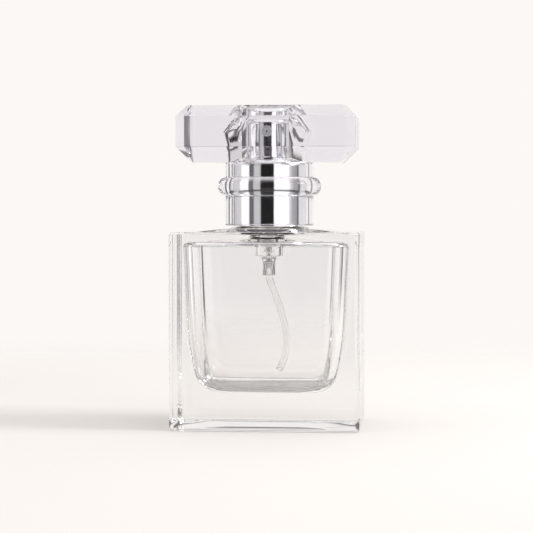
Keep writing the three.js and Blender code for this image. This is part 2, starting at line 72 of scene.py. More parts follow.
NECK_RISE = 10.2
HALF_X = BODY_HIGH[0]
HALF_Y = BODY_HIGH[1]
NECK_TOP = BODY_HIGH[2]
SHOULDER = NECK_TOP - NECK_RISE
SHELL_R = SHELL_HIGH[0]
BUTTON_R = BUTTON_HIGH[0]
CAP_GAP = 0.3
SKIRT_WALL = 1.6
SKIRT_IN_R = SHELL_R + CAP_GAP
SKIRT_R = SKIRT_IN_R + SKIRT_WALL

# ---- surfaces ----


def put_mesh(name, points, quads, body, smooth=True):
    """A mesh object from arrays of points (millimetres) and faces, riding on a body."""
    mesh = bpy.data.meshes.new(name)
    mesh.from_pydata((np.asarray(points) * MM).tolist(), [], quads)
    mesh.validate()
    mesh.update()
    mesh.polygons.foreach_set("use_smooth", np.full(len(mesh.polygons), smooth))
    piece = bpy.data.objects.new(name, mesh)
    bpy.context.collection.objects.link(piece)
    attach(piece, body)
    return piece


def wrap(name, grid, body, start_pole=False, end_pole=False, closed=False):
    """Rows of points that each close round the axis, joined row to row.

    The first or last row may shrink to one point, which closes the surface,
    or the last row may join the first.
    """
    rows, columns, _ = grid.shape
    points = [grid.reshape(-1, 3)]
    row = np.arange(rows - 1 + int(closed))[:, None]
    column = np.arange(columns)[None, :]
    after = (row + 1) % rows
    beside = (column + 1) % columns
    quads = np.stack(
        [
            row * columns + column,
            row * columns + beside,
            after * columns + beside,
            after * columns + column,
        ],
        axis=-1,
    )
    faces = quads.reshape(-1, 4).tolist()
    total = rows * columns
    ring = np.arange(columns)
    if start_pole:
        points.append(grid[0].mean(0)[None])
        fan = np.stack([np.full(columns, total), np.roll(ring, -1), ring], axis=-1)
        faces += fan.tolist()
        total += 1
    if end_pole:
        points.append(grid[-1].mean(0)[None])
        last = (rows - 1) * columns
        fan = np.stack([np.full(columns, total), last + ring, last + np.roll(ring, -1)], axis=-1)
        faces += fan.tolist()
    return put_mesh(name, np.concatenate(points), faces, body)


def arc(centre, radii, start, end, steps):
    """Points on an ellipse: centre plus radii times cosine and sine of an even sweep in degrees."""
    angle = np.radians(np.linspace(start, end, steps + 1))
    across = centre[0] + radii[0] * np.cos(angle)
    up = centre[1] + radii[1] * np.sin(angle)
    return np.stack([across, up], axis=-1)


def line(start, end, steps):
    """Even points on a straight stretch, its end left out."""
    share = np.linspace(0, 1, steps, endpoint=False)[:, None]
    return np.asarray(start) * (1 - share) + np.asarray(end) * share


def turned(name, outline, body, segments=160, start_pole=False, end_pole=False, closed=False):
    """Surface of revolution: radius times (cosine, sine) of the angle, at the outline's height."""
    outline = np.asarray(outline, float)
    angle = np.linspace(0, 2 * math.pi, segments, endpoint=False)
    grid = np.stack(
        [
            outline[:, :1] * np.cos(angle),
            outline[:, :1] * np.sin(angle),
            np.repeat(outline[:, 1:], segments, axis=1),
        ],
        axis=-1,
    )
    return wrap(name, grid, body, start_pole, end_pole, closed)


CORNER_STEPS = 10
SIDE_STEPS = 9


def eased(steps):
    """Shares from 0 to 1 that crowd towards both ends, so a side stays flat up to its corners."""
    share = np.linspace(0, 1, steps + 1)
    return 0.5 - 0.5 * np.cos(math.pi * share)


def rounded_section(half_x, half_y, corner):
    """Closed outline of a rounded rectangle: four corner arcs, each followed by a straight side."""
    sweep = np.radians(np.linspace(0, 90, CORNER_STEPS + 1))
    arcs = []
    for turn, (sign_x, sign_y) in enumerate([(1, 1), (-1, 1), (-1, -1), (1, -1)]):
        angle = sweep + turn * math.pi / 2
        centre = np.array([sign_x * (half_x - corner), sign_y * (half_y - corner)])
        arcs.append(centre + corner * np.stack([np.cos(angle), np.sin(angle)], axis=-1))
    outline = []
    for turn in range(4):
        outline.append(arcs[turn])
        share = eased(SIDE_STEPS)[1:-1, None]
        outline.append(arcs[turn][-1] * (1 - share) + arcs[(turn + 1) % 4][0] * share)
    return np.concatenate(outline)


BODY_DIAGONAL = 33.7
CORNER_SPREAD = 14.0


def round_section(radius):
    """Closed circle whose points keep step with rounded_section.

    Each rounded corner becomes a narrow sweep about the body's diagonal, each side the rest.
    """
    middles = [BODY_DIAGONAL, 180 - BODY_DIAGONAL, 180 + BODY_DIAGONAL, 360 - BODY_DIAGONAL]
    outline = []
    for turn, middle in enumerate(middles):
        following = middles[(turn + 1) % 4] + (360 if turn == 3 else 0)
        first = middle + CORNER_SPREAD / 2
        last = following - CORNER_SPREAD / 2
        corner = np.linspace(middle - CORNER_SPREAD / 2, first, CORNER_STEPS + 1)
        side = first + (last - first) * eased(SIDE_STEPS)[1:-1]
        outline.append(np.concatenate([corner, side]))
    angle = np.radians(np.concatenate(outline))
    return radius * np.stack([np.cos(angle), np.sin(angle)], axis=-1)


def row_at(section, z):
    """A closed outline lifted to one height, or to a height for each point."""
    height = np.broadcast_to(np.asarray(z, float).reshape(-1, 1), (len(section), 1))
    return np.concatenate([section, height], axis=-1)


def smooth_step(value):
    """0 below 0, 1 above 1, and an S-shaped rise between."""
    value = np.clip(value, 0, 1)
    return value * value * (3 - 2 * value)


# ---- glass bottle ----
BODY_CORNER_R = 1.3
BODY_EDGE_R = 0.8
EDGE_STEPS = 9
SIDE_ROWS = 16

# The underside: shares of its reach, and where its shallow hollow ends.
UNDERSIDE_SHARES = (0.2, 0.4, 0.6, 0.72, 0.8, 0.86, 0.91, 0.95)
UNDERSIDE_CORNER_R = 0.9
BASE_HOLLOW = 0.45
HOLLOW_FLAT = 0.6
HOLLOW_BLEND = 0.35

# The shoulder lifts towards the neck from this share of the way in.
SHOULDER_LIFT = 0.75
LIFT_FROM = 0.3

NECK_R = 6.4
NECK_FILLET_R = 1.3
BEAD_R = NECK_R + 1.0
BEAD_HEIGHT = 3.4
BEAD_ROUND = 0.9
MOUTH_ROUND = 0.4
NECK_BORE_R = 4.4
BORE_FOOT_ROUND = 0.6

SIDE_WALL = 2.7
FACE_WALL = 3.0
BASE_THICKNESS = 8.6
CAVITY_TOP = SHOULDER - 2.3
CAVITY_CORNER_R = 5.2
CEILING_R = 1.3
CEILING_CORNER_LOSS = 0.6
CEILING_LIFT = 0.7
EVEN_TAPER = 1.45
HEEL_TAPER = 2.6
FACE_TAPER_SHARE = 0.55
HEEL_RISE = 4.2
HEEL_REACH_X = 3.4
HEEL_REACH_Y = 3.0
FLOOR_DISH = 0.12


def body_section(inset):
    """The block's outline, drawn in by an inset on all sides."""
    return rounded_section(HALF_X - inset, HALF_Y - inset, BODY_CORNER_R)


def body_rows():
    """Outside of the block: flat base, rounded foot, straight sides, rounded shoulder edge."""
    rows = []
    for share in UNDERSIDE_SHARES:
        reach_x = (HALF_X - BODY_EDGE_R) * share
        reach_y = (HALF_Y - BODY_EDGE_R) * share
        hollow = BASE_HOLLOW * (1 - smooth_step((share - HOLLOW_FLAT) / HOLLOW_BLEND))
        rows.append(row_at(rounded_section(reach_x, reach_y, UNDERSIDE_CORNER_R), hollow))
    for angle in np.radians(np.linspace(-90, 0, EDGE_STEPS)):
        inset = BODY_EDGE_R * (1 - math.cos(angle))
        rows.append(row_at(body_section(inset), BODY_EDGE_R * (1 + math.sin(angle))))
    low, high = BODY_EDGE_R, SHOULDER - BODY_EDGE_R
    for share in eased(SIDE_ROWS)[1:-1]:
        rows.append(row_at(body_section(0), low + (high - low) * share))
    for angle in np.radians(np.linspace(0, 90, EDGE_STEPS)):
        inset = BODY_EDGE_R * (1 - math.cos(angle))
        rows.append(row_at(body_section(inset), high + BODY_EDGE_R * math.sin(angle)))
    return rows


def shoulder_rows():
    """Shoulder from the rounded rectangle to the round neck foot, lifting with an S-shaped rise."""
    edge = body_section(BODY_EDGE_R)
    foot = round_section(SKIRT_R)
    rows = []
    for share in np.linspace(0, 1, 15)[1:]:
        lift = SHOULDER_LIFT * smooth_step((share - LIFT_FROM) / (1 - LIFT_FROM))
        rows.append(row_at(edge * (1 - share) + foot * share, SHOULDER + lift))
    return rows


def neck_rows():
    """Neck, bead and mouth as radius and height, going up the outside and down the bore."""
    bead_low = NECK_TOP - BEAD_HEIGHT
    bead_in = BEAD_R - BEAD_ROUND
    mouth_r = NECK_BORE_R + MOUTH_ROUND
    bore_foot = CAVITY_TOP + 1.3
    outline = np.concatenate(
        [
            [[SKIRT_IN_R, SHOULDER + 1.0], [SHELL_R - 0.35, SHOULDER + 1.15]],
            arc((NECK_R + NECK_FILLET_R, SHOULDER + 2.5), (NECK_FILLET_R,) * 2, -90, -180, 7),
            [[NECK_R, bead_low - 0.6], [NECK_R, bead_low]],
            arc((bead_in, bead_low + BEAD_ROUND), (BEAD_ROUND,) * 2, -90, 0, 6),
            arc((bead_in, NECK_TOP - BEAD_ROUND), (BEAD_ROUND,) * 2, 0, 90, 6),
            arc((mouth_r, NECK_TOP - MOUTH_ROUND), (MOUTH_ROUND,) * 2, 90, 180, 4),
            line([NECK_BORE_R, NECK_TOP - 1.5], [NECK_BORE_R, bore_foot + 0.1], 6),
            arc((NECK_BORE_R + BORE_FOOT_ROUND, bore_foot), (BORE_FOOT_ROUND,) * 2, 180, 270, 5),
        ]
    )
    return [row_at(round_section(r), z) for r, z in outline]


def cavity_half_sizes(z):
    """Half widths of the hollow at a height: a slow taper that quickens towards the floor."""
    drop = (CAVITY_TOP - z) / (CAVITY_TOP - BASE_THICKNESS)
    taper = EVEN_TAPER * drop + HEEL_TAPER * drop**5
    half_x = HALF_X - SIDE_WALL - taper
    half_y = HALF_Y - FACE_WALL - FACE_TAPER_SHARE * taper
    return half_x, half_y


def cavity_rows():
    """Hollow from its ceiling down: rounded rim, tapering walls, rounded heel and dished floor."""
    rows = []
    top_x, top_y = cavity_half_sizes(CAVITY_TOP)
    rim_corner = CAVITY_CORNER_R - CEILING_CORNER_LOSS
    rim = rounded_section(top_x - CEILING_R, top_y - CEILING_R, rim_corner)
    mouth = round_section(NECK_BORE_R + BORE_FOOT_ROUND)
    for share in np.linspace(0, 1, 12)[1:-1]:
        lift = CEILING_LIFT * (1 - smooth_step(share * 1.1))
        rows.append(row_at(mouth * (1 - share) + rim * share, CAVITY_TOP + lift))
    for angle in np.radians(np.linspace(90, 0, 7)):
        z = CAVITY_TOP - CEILING_R * (1 - math.sin(angle))
        half_x, half_y = cavity_half_sizes(z)
        turned_in = 1 - math.cos(angle)
        inset = CEILING_R * turned_in
        corner = CAVITY_CORNER_R - CEILING_CORNER_LOSS * turned_in
        rows.append(row_at(rounded_section(half_x - inset, half_y - inset, corner), z))
    high, low = CAVITY_TOP - CEILING_R, BASE_THICKNESS + HEEL_RISE
    for z in np.linspace(high, low, 26)[1:]:
        rows.append(row_at(rounded_section(*cavity_half_sizes(z), CAVITY_CORNER_R), z))
    for angle in np.radians(np.linspace(0, 90, 13)[1:]):
        z = BASE_THICKNESS + HEEL_RISE * (1 - math.sin(angle))
        half_x, half_y = cavity_half_sizes(z)
        turned_in = 1 - math.cos(angle)
        reach_x = half_x - HEEL_REACH_X * turned_in
        reach_y = half_y - HEEL_REACH_Y * turned_in
        rows.append(row_at(rounded_section(reach_x, reach_y, CAVITY_CORNER_R), z))
    floor_x, floor_y = cavity_half_sizes(BASE_THICKNESS)
    floor_x -= HEEL_REACH_X
    floor_y -= HEEL_REACH_Y
    for share in (0.85, 0.65, 0.45, 0.25):
        section = rounded_section(floor_x * share, floor_y * share, CAVITY_CORNER_R * share)
        rows.append(row_at(section, BASE_THICKNESS - FLOOR_DISH * (1 - share)))
    return rows


def make_bottle():
    """One closed glass surface: base, sides, shoulder, neck, bore and hollow, row by row."""
    rows = body_rows() + shoulder_rows() + neck_rows() + cavity_rows()
    piece = wrap("glass_body", np.stack(rows), "bottle", start_pole=True, end_pole=True)
    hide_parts("glass_bottle")
    return piece


# ---- overcap ----
BAR_HEIGHT = 13.5
BAR_TOP_BEVEL = 2.6
BAR_BOTTOM_BEVEL = 3.7
BAR_CORNER_CUT = 2.35
BAR_ROOF = 1.4
CHAMBER_FRONT = 5.6
# Narrow roof, wide middle, round bore: drop below the roof, half width, half of the flat end.
CHAMBER_LEVELS = (
    (0.0, 6.3, 2.6),
    (2.1, 8.3, 2.6),
    (4.9, 10.5, 3.0),
    (7.6, 9.6, 4.1),
    (10.6, 9.15, 4.7),
)
BEAD_RING_OUT = 1.85
BEAD_RING_HALF = 2.175
BEAD_RING_Z = NECK_TOP + 0.6
SKIRT_FOOT_R = 0.35
SKIRT_BORE_FOOT_R = 0.4
SUPPORT = 0.2
BROKEN_EDGE = 0.32
FACET_STEPS = (14, 4, 10, 4, 14, 4, 10, 4)


# Where the skirt's wall passes from the bar's flat underside to its bevel, in degrees from +X.
MEET = math.degrees(math.asin((CAP_HIGH[1] - BAR_BOTTOM_BEVEL) / SKIRT_R))
SLOPE_SHARE = 0.4
# What a cut corner loses for each millimetre that its outline is drawn in.
CORNER_LOSS = 2 - math.sqrt(2)


def facet_outline(corners):
    """Closed outline through eight corners, each side in its own number of even steps."""
    sides = [
        line(corners[side], corners[(side + 1) % 8], steps)
        for side, steps in enumerate(FACET_STEPS)
    ]
    return np.concatenate(sides)


def cut_section(half_x, half_y, cut):
    """Closed outline of a rectangle with its four corners cut off."""
    corners = [
        [half_x - cut, half_y],
        [-half_x + cut, half_y],
        [-half_x, half_y - cut],
        [-half_x, -half_y + cut],
        [-half_x + cut, -half_y],
        [half_x - cut, -half_y],
        [half_x, -half_y + cut],
        [half_x, half_y - cut],
    ]
    return facet_outline(np.array(corners))


def bar_section(inset):
    """The bar's outline drawn in by an inset, its cut corners shrinking with it."""
    cut = BAR_CORNER_CUT - CORNER_LOSS * inset
    return cut_section(CAP_HIGH[0] - inset, CAP_HIGH[1] - inset, cut)


def cap_round_section(radius):
    """Circle whose points keep step with cut_section."""
    # A rectangle this long crowds its corners, so the circle's own corners are spread more evenly.
    corner_angle = np.radians([MEET, 180 - MEET, 148, 212, 180 + MEET, 360 - MEET, 328, 392])
    angle = []
    for side, steps in enumerate(FACET_STEPS):
        start = corner_angle[side]
        end = corner_angle[side + 1] if side < 7 else corner_angle[0] + 2 * math.pi
        angle.append(np.linspace(start, end, steps, endpoint=False))
    angle = np.concatenate(angle)
    return radius * np.stack([np.cos(angle), np.sin(angle)], axis=-1)


def chamber_section(half_x, half_end):
    """Closed outline of the chamber: flat front and back, short flat ends, long corner facets."""
    corners = [
        [CHAMBER_FRONT, SKIRT_IN_R],
        [-CHAMBER_FRONT, SKIRT_IN_R],
        [-half_x, half_end],
        [-half_x, -half_end],
        [-CHAMBER_FRONT, -SKIRT_IN_R],
        [CHAMBER_FRONT, -SKIRT_IN_R],
        [half_x, -half_end],
        [half_x, half_end],
    ]
    return facet_outline(np.array(corners))


def overcap_inside():
    """Rows from the middle of the chamber's roof down its facets and the round bore to the foot."""
    low = CAP_LOW[2]
    roof = CAP_HIGH[2] - BAR_ROOF
    ceiling = chamber_section(*CHAMBER_LEVELS[0][1:])
    rows = [row_at(ceiling * share, roof) for share in (0.4, 0.8)]
    rows += [row_at(chamber_section(half, end), roof - drop) for drop, half, end in CHAMBER_LEVELS]
    bore_top = roof - CHAMBER_LEVELS[-1][0] - 0.5
    foot = (SKIRT_IN_R + SKIRT_BORE_FOOT_R, low + SKIRT_BORE_FOOT_R)
    bore = np.concatenate(
        [
            line([SKIRT_IN_R, bore_top], [SKIRT_IN_R, low + 0.6], 14),
            [[SKIRT_IN_R, low + 0.48]],
            arc(foot, (SKIRT_BORE_FOOT_R,) * 2, 180, 270, 4),
        ]
    )
    rows += [row_at(cap_round_section(r), z) for r, z in bore]
    return rows


def overcap_outside():
    """Rows from the skirt's foot up over the bead ring, then out and over the bevelled bar."""
    low, top = CAP_LOW[2], CAP_HIGH[2]
    bottom = top - BAR_HEIGHT
    foot_r = SKIRT_R - SKIRT_FOOT_R
    ring_low = BEAD_RING_Z - BEAD_RING_HALF - SUPPORT
    ring_top = BEAD_RING_Z + BEAD_RING_HALF + SUPPORT
    skirt = np.concatenate(
        [
            [[foot_r, low]],
            arc((foot_r, low + SKIRT_FOOT_R), (SKIRT_FOOT_R,) * 2, -90, 0, 4)[1:],
            [[SKIRT_R, low + 0.42]],
            line([SKIRT_R, low + 0.9], [SKIRT_R, ring_low], 5),
            arc((SKIRT_R, BEAD_RING_Z), (BEAD_RING_OUT, BEAD_RING_HALF), -90, 90, 20),
        ]
    )
    rows = [row_at(cap_round_section(r), z) for r, z in skirt]
    # The skirt's wall runs up to the flat underside, or on to the bevel where it passes the flat.
    wall = cap_round_section(SKIRT_R)
    past_flat = np.maximum(0, np.abs(wall[:, 1]) - (CAP_HIGH[1] - BAR_BOTTOM_BEVEL))
    climb = bottom + past_flat - ring_top
    rows += [row_at(wall, ring_top + climb * share) for share in (0, 0.3, 0.6, 0.9, 1)]
    meet = rows[-1]
    flat_edge = row_at(bar_section(BAR_BOTTOM_BEVEL), bottom)
    bevel_top = row_at(bar_section(0), bottom + BAR_BOTTOM_BEVEL)
    on_slope = meet * (1 - SLOPE_SHARE) + bevel_top * SLOPE_SHARE
    under = np.where(past_flat[:, None] > 1e-6, on_slope, flat_edge)
    rows += [meet * (1 - share) + under * share for share in (0.5, 1)]
    rows += [bevel_top, row_at(bar_section(0), top - BAR_TOP_BEVEL)]
    roof = bar_section(BAR_TOP_BEVEL)
    rows += [row_at(roof * share, top) for share in (1, 0.9, 0.5)]
    return rows


def make_overcap():
    """One closed clear surface: the inside from the roof down, then the outside back up."""
    rows = overcap_inside() + overcap_outside()
    piece = wrap("clear_overcap", np.stack(rows), "overcap", start_pole=True, end_pole=True)
    bevel = piece.modifiers.new("broken edges", "BEVEL")
    bevel.width = BROKEN_EDGE * MM
    bevel.segments = 3
    bevel.limit_method = "ANGLE"
    bevel.angle_limit = math.radians(28)
    bevel.harden_normals = False
    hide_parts("overcap")
    return piece


# ---- metal collar and button ----


COLLAR_WALL = 0.35
COLLAR_EDGE_R = 1.5
COLLAR_OPENING_GAP = 0.4
ROLLED_RIM_R = 0.18


def make_collar():
    """Thin bright cup: straight wall, rounded top edge, flat ledge with a rolled rim."""
    low, top = SHELL_LOW[2], SHELL_HIGH[2]
    opening = BUTTON_R + COLLAR_OPENING_GAP
    edge_x, edge_z = SHELL_R - COLLAR_EDGE_R, top - COLLAR_EDGE_R
    inner_edge = COLLAR_EDGE_R - COLLAR_WALL
    inner_r = SHELL_R - COLLAR_WALL
    half_wall = COLLAR_WALL / 2
    rim = (opening + ROLLED_RIM_R, top - ROLLED_RIM_R)
    outline = np.concatenate(
        [
            line([SHELL_R, low + 0.3], [SHELL_R, edge_z - 0.1], 10),
            arc((edge_x, edge_z), (COLLAR_EDGE_R,) * 2, 0, 90, 12),
            line([edge_x - 0.1, top], [opening + 0.2, top], 3),
            arc(rim, (ROLLED_RIM_R,) * 2, 90, 270, 6),
            arc((edge_x, edge_z), (inner_edge,) * 2, 90, 0, 8),
            line([inner_r, edge_z - 0.2], [inner_r, low + 0.15], 6),
            arc((SHELL_R - half_wall, low + half_wall), (half_wall,) * 2, 180, 360, 5),
        ]
    )
    piece = turned("bright_collar", outline, "bottle", closed=True)
    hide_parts("collar_shell")
    return piece


BUTTON_WALL = 0.3
BUTTON_EDGE_R = 1.2


def make_button():
    """Bright skin of the push button: straight wall, rounded top edge, slightly crowned top."""
    low, top = BUTTON_LOW[2], BUTTON_HIGH[2]
    edge_x, edge_z = BUTTON_R - BUTTON_EDGE_R, top - BUTTON_EDGE_R
    inner_edge = BUTTON_EDGE_R - BUTTON_WALL
    inner_r = BUTTON_R - BUTTON_WALL
    half_wall = BUTTON_WALL / 2
    roof = top - BUTTON_WALL
    inside = np.concatenate(
        [
            [[BUTTON_R * 0.2, roof], [BUTTON_R * 0.7, roof]],
            arc((edge_x, edge_z), (inner_edge,) * 2, 90, 0, 5),
            line([inner_r, edge_z - 0.3], [inner_r, low + 0.4], 6),
        ]
    )
    outside = np.concatenate(
        [
            [[inner_r, low + 0.1]],
            arc((BUTTON_R - half_wall, low + half_wall), (half_wall,) * 2, 180, 360, 6),
            line([BUTTON_R, low + 0.6], [BUTTON_R, edge_z - 0.1], 12),
            arc((edge_x, edge_z), (BUTTON_EDGE_R,) * 2, 0, 84, 8),
            [[BUTTON_R * 0.7, top - 0.03], [BUTTON_R * 0.4, top - 0.01], [BUTTON_R * 0.15, top]],
        ]
    )
    outline = np.concatenate([inside, outside])
    piece = turned("bright_button", outline, "spray_head", start_pole=True, end_pole=True)
    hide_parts("button_shell")
    return piece


NOZZLE_PROUD = 0.28
NOZZLE_EDGE_R = 0.12
SPRAY_HOLE_R = 0.16


def make_nozzle():
    """Nozzle insert turned about an axis along Y: rounded rim, shallow dish and spray hole."""
    radius = NOZZLE_HIGH[0]
    front, back = NOZZLE_LOW[1] - NOZZLE_PROUD, NOZZLE_HIGH[1]
    height = (NOZZLE_LOW[2] + NOZZLE_HIGH[2]) / 2
    edge = (radius - NOZZLE_EDGE_R, front + NOZZLE_EDGE_R)
    dish = [
        [radius - 0.24, front],
        [radius - 0.3, front + 0.27],
        [0.6, front + 0.29],
        [0.34, front + 0.29],
        [0.2, front + 0.31],
    ]
    hole = [[SPRAY_HOLE_R, front + 0.4], [SPRAY_HOLE_R, front + 1.2]]
    side = line([radius, back - 0.15], [radius, front + NOZZLE_EDGE_R], 4)
    rim = arc(edge, (NOZZLE_EDGE_R,) * 2, 0, -90, 5)
    outline = np.concatenate([[[radius - 0.1, back]], side, rim, dish, hole])[::-1]
    piece = turned("spray_nozzle", outline, "spray_head", 72, start_pole=True, end_pole=True)
    # Stand the turning axis along Y, (x, y, z) to (x, z, -y), and lift it to the nozzle's height.
    lay = Matrix.Translation((0, 0, height * MM)) @ Matrix(
        ((1, 0, 0, 0), (0, 0, 1, 0), (0, -1, 0, 0), (0, 0, 0, 1))
    )
    piece.data.transform(lay)
    piece.data.update()
    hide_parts("nozzle_insert")
    return piece


# ---- pump parts that show in the hollow ----
TAIL_R = 1.55
TAIL_BORE_R = 1.0
VALVE_BORE_R = 0.5
BARREL_R = NECK_BORE_R - 1.0
BARREL_WALL = 0.8
BARREL_DROP = 16.3
BARREL_CORNER_R = 0.4
FLANGE_THICKNESS = 1.0


def make_housing():
    """Pump housing, turned: tail, stepped nipple, barrel and flange outside, then the bore."""
    low, top = HOUSING_LOW[2], HOUSING_HIGH[2]
    barrel_low = NECK_TOP - BARREL_DROP
    flange_r = HOUSING_HIGH[0]
    flange_low = top - FLANGE_THICKNESS
    corner = (BARREL_R - BARREL_CORNER_R, barrel_low + BARREL_CORNER_R)
    outline = np.concatenate(
        [
            [[1.1, low]],
            arc((TAIL_R - 0.2, low + 0.2), (0.2, 0.2), -90, 0, 3),
            line([TAIL_R, low + 0.5], [TAIL_R, barrel_low - 0.9], 5),
            [[TAIL_R + 0.2, barrel_low - 0.8], [TAIL_R + 0.25, barrel_low - 0.15]],
            [[TAIL_R + 0.4, barrel_low]],
            arc(corner, (BARREL_CORNER_R,) * 2, -90, 0, 5),
            line([BARREL_R, barrel_low + 1.0], [BARREL_R, flange_low - 0.1], 12),
            [[BARREL_R, flange_low], [flange_r, flange_low], [flange_r, top]],
            [[BARREL_R - BARREL_WALL, top], [BARREL_R - BARREL_WALL, barrel_low + 3.3]],
            [[TAIL_BORE_R, barrel_low + 3.1], [TAIL_BORE_R, barrel_low + 1.1]],
            [[VALVE_BORE_R, barrel_low + 1.0], [VALVE_BORE_R, low + 3.5]],
            [[TAIL_BORE_R, low + 3.4]],
        ]
    )
    piece = turned("pump_body", outline, "bottle", segments=96, closed=True)
    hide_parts("pump_housing")
    return piece


TUBE_R = 0.9
TUBE_BORE_R = 0.6
TUBE_BOW = 3.8
TUBE_HOLD = 3.3
TUBE_FLOOR_GAP = 3.1
TUBE_BACK_GAP = 4.3
TUBE_LEVEL = (0.0, 1.0, 0.0)
# Along the route: share of the sideways bow, share of the lean to the back, share of the fall left.
TUBE_BENDS = (
    (0.2, 0.03, 0.9),
    (0.5, 0.13, 0.76),
    (0.76, 0.28, 0.61),
    (0.95, 0.46, 0.46),
    (1.0, 0.66, 0.3),
    (0.86, 0.86, 0.14),
    (0.5, 1.0, 0.0),
)


def smooth_path(points, steps):
    """A curve through points by cubic Hermite pieces, each slope half the step across its point."""
    points = np.asarray(points, float)
    slopes = np.gradient(points, axis=0)
    t = np.linspace(0, len(points) - 1, steps)
    index = np.minimum(t.astype(int), len(points) - 2)
    u = (t - index)[:, None]
    p0, p1 = points[index], points[index + 1]
    m0, m1 = slopes[index], slopes[index + 1]
    return (
        (2 * u**3 - 3 * u**2 + 1) * p0
        + (u**3 - 2 * u**2 + u) * m0
        + (3 * u**2 - 2 * u**3) * p1
        + (u**3 - u**2) * m1
    )


def rings_along(path, radius, level, segments):
    """Circles carried along a path: centre plus radius times cosine and sine of two square ways."""
    ahead = np.gradient(path, axis=0)
    ahead /= np.linalg.norm(ahead, axis=1, keepdims=True)
    side = np.cross(ahead, np.array(level))
    side /= np.linalg.norm(side, axis=1, keepdims=True)
    other = np.cross(ahead, side)
    angle = np.linspace(0, 2 * math.pi, segments, endpoint=False)
    cosine, sine = np.cos(angle)[None, :, None], np.sin(angle)[None, :, None]
    return path[:, None] + radius * (cosine * side[:, None] + sine * other[:, None])


def make_dip_tube():
    """See-through tube: rings along the bowed route, outside and bore joined at both ends."""
    tail = HOUSING_LOW[2]
    end = BASE_THICKNESS + TUBE_FLOOR_GAP
    fall = tail - end
    back = HALF_Y - FACE_WALL - TUBE_BACK_GAP
    route = [(0, 0, tail + TUBE_HOLD), (0, 0, tail)]
    route += [(side * TUBE_BOW, rear * back, end + left * fall) for side, rear, left in TUBE_BENDS]
    path = smooth_path(route, 90)
    outside = rings_along(path, TUBE_R, TUBE_LEVEL, 28)
    bore = rings_along(path, TUBE_BORE_R, TUBE_LEVEL, 28)[::-1]
    piece = wrap("see_through_tube", np.concatenate([bore, outside]), "bottle", closed=True)
    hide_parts("dip_tube")
    return piece


WIRE_R = 0.2
SPRING_TURNS = 6


def make_spring():
    """Coil spring: a wire circle carried up an even helix, on a mesh of its own."""
    coil_r = SPRING_HIGH[0] - WIRE_R
    share = np.linspace(0, 1, SPRING_TURNS * 40 + 1)
    angle = share * SPRING_TURNS * 2 * math.pi
    low, high = SPRING_LOW[2] + WIRE_R, SPRING_HIGH[2] - WIRE_R
    rise = low + (high - low) * share
    path = np.stack([coil_r * np.cos(angle), coil_r * np.sin(angle), rise], axis=-1)
    wire = rings_along(path, WIRE_R, (0.0, 0.0, 1.0), 12)
    piece = wrap("coil_spring", wire, "bottle", start_pole=True, end_pole=True)
    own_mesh(piece)
    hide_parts("return_spring")
    return piece


# ---- finishes ----


def new_material(name):
    """An empty node material and its tree."""
    material = bpy.data.materials.new(name)
    material.use_nodes = True
    tree = material.node_tree
    tree.nodes.clear()
    return material, tree


def shader(tree, **values):
    """A Principled shader wired to the output, with its constant sockets set by name."""
    output = tree.nodes.new("ShaderNodeOutputMaterial")
    principled = tree.nodes.new("ShaderNodeBsdfPrincipled")
    tree.links.new(principled.outputs["BSDF"], output.inputs["Surface"])
    for socket, value in values.items():
        principled.inputs[socket.replace("_", " ")].default_value = value
    return principled


def noise(tree, scale, detail=2.0, stretch=(1, 1, 1)):
    """Noise value on Object coordinates; scale is in waves per metre."""
    coordinates = tree.nodes.new("ShaderNodeTexCoord")
    mapping = tree.nodes.new("ShaderNodeMapping")
    mapping.inputs["Scale"].default_value = stretch
    texture = tree.nodes.new("ShaderNodeTexNoise")
    texture.inputs["Scale"].default_value = scale
    texture.inputs["Detail"].default_value = detail
    tree.links.new(coordinates.outputs["Object"], mapping.inputs["Vector"])
    tree.links.new(mapping.outputs["Vector"], texture.inputs["Vector"])
    return texture.outputs["Fac"]


# Noise seldom strays outside this range, so it is spread from here.
NOISE_RANGE = (0.3, 0.7)


def drift(tree, principled, source, low, high):
    """Base colour that drifts between two colours with a noise value."""
    node = tree.nodes.new("ShaderNodeValToRGB")
    for stop, position, colour in zip(node.color_ramp.elements, NOISE_RANGE, (low, high)):
        stop.position = position
        stop.color = (*colour, 1)
    tree.links.new(source, node.inputs["Fac"])
    tree.links.new(node.outputs["Color"], principled.inputs["Base Color"])


def polish(tree, principled, source, low, high):
    """Roughness that wanders between two values with a noise value."""
    node = tree.nodes.new("ShaderNodeMapRange")
    node.inputs["From Min"].default_value = NOISE_RANGE[0]
    node.inputs["From Max"].default_value = NOISE_RANGE[1]
    node.inputs["To Min"].default_value = low
    node.inputs["To Max"].default_value = high
    tree.links.new(source, node.inputs["Value"])
    tree.links.new(node.outputs["Result"], principled.inputs["Roughness"])


def bump(tree, principled, source, strength, distance):
    """Bump from a value onto the shader's normal; distance in metres."""
    node = tree.nodes.new("ShaderNodeBump")
    node.inputs["Strength"].default_value = strength
    node.inputs["Distance"].default_value = distance
    tree.links.new(source, node.inputs["Height"])
    tree.links.new(node.outputs["Normal"], principled.inputs["Normal"])


def tinted_depth(tree, colour, density):
    """Even absorption through the thickness, so deep glass looks darker than thin glass."""
    output = next(node for node in tree.nodes if node.type == "OUTPUT_MATERIAL")
    volume = tree.nodes.new("ShaderNodeVolumeAbsorption")
    volume.inputs["Color"].default_value = (*colour, 1)
    volume.inputs["Density"].default_value = density
    tree.links.new(volume.outputs["Volume"], output.inputs["Volume"])


